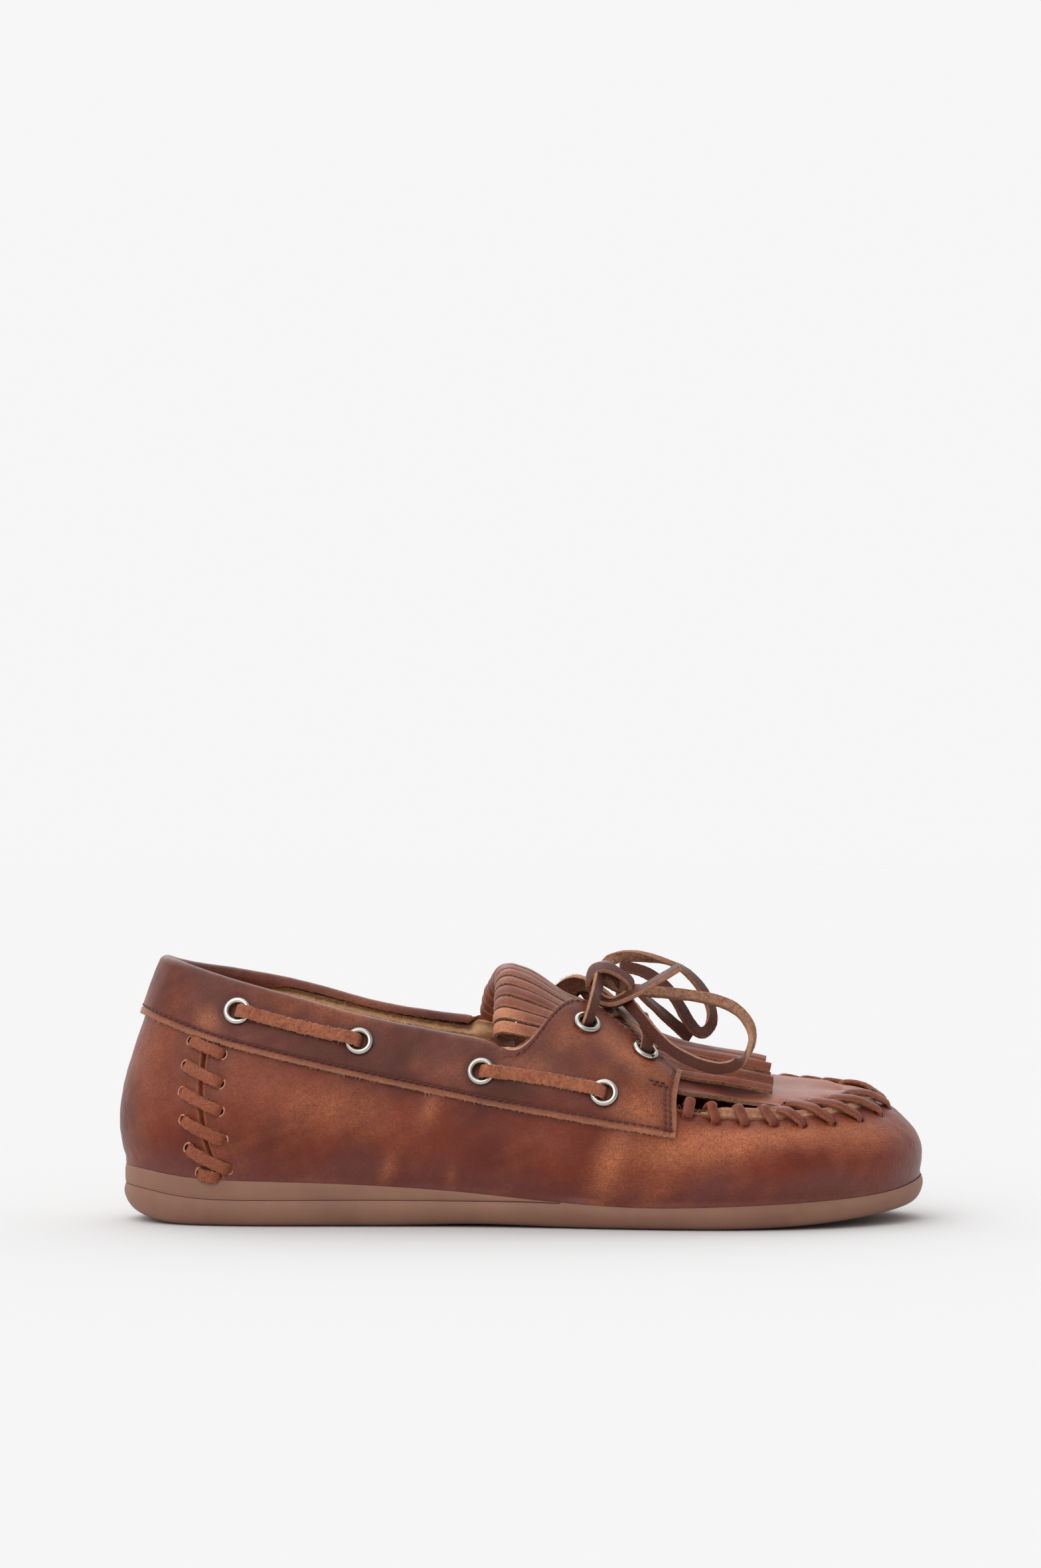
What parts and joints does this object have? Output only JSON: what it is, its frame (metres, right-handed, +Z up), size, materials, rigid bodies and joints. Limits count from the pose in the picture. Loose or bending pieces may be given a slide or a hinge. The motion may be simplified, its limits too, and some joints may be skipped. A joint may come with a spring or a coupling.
{
  "type": "moccasin loafer",
  "caption": "Right moccasin loafer with a whip-stitched apron, fringed kiltie, laced collar tied in a thong bow, and a flat rubber sole.",
  "frame": {"origin": "middle of the shoe on the floor, below the centre of its box without the bow", "axes": "+X from heel to toe, +Y to the inner (medial) side, +Z up"},
  "size_m": [0.2596, 0.093, 0.0867],
  "materials": {
    "upper_leather": "waxed, burnished",
    "thong_leather": "matt, with a raw flesh side",
    "insole_suede": "suede",
    "sole_rubber": "matt",
    "eyelet_metal": "polished nickel"
  },
  "bodies": {
    "root": {"apron": "upper_leather", "bow_loop_lateral": "thong_leather", "bow_loop_medial": "thong_leather", "eyelet_lateral_collar_1": "eyelet_metal", "eyelet_lateral_collar_2": "eyelet_metal", "eyelet_lateral_collar_3": "eyelet_metal", "eyelet_lateral_collar_4": "eyelet_metal", "eyelet_lateral_throat_lower": "eyelet_metal", "eyelet_lateral_throat_upper": "eyelet_metal", "eyelet_medial_collar_1": "eyelet_metal", "eyelet_medial_collar_2": "eyelet_metal", "eyelet_medial_collar_3": "eyelet_metal", "eyelet_medial_collar_4": "eyelet_metal", "eyelet_medial_throat_lower": "eyelet_metal", "eyelet_medial_throat_upper": "eyelet_metal", "insole": "insole_suede", "kiltie": "upper_leather", "lace_crossing": "thong_leather", "lace_end_lateral": "thong_leather", "lace_end_medial": "thong_leather", "lace_knot": "thong_leather", "lace_lateral_front": "thong_leather", "lace_lateral_rear": "thong_leather", "lace_medial_front": "thong_leather", "lace_medial_rear": "thong_leather", "lace_tie_lateral": "thong_leather", "lace_tie_medial": "thong_leather", "outsole": "sole_rubber", "saddle": "upper_leather", "upper": "upper_leather", "wedge": "sole_rubber"}
  },
  "joints": []
}
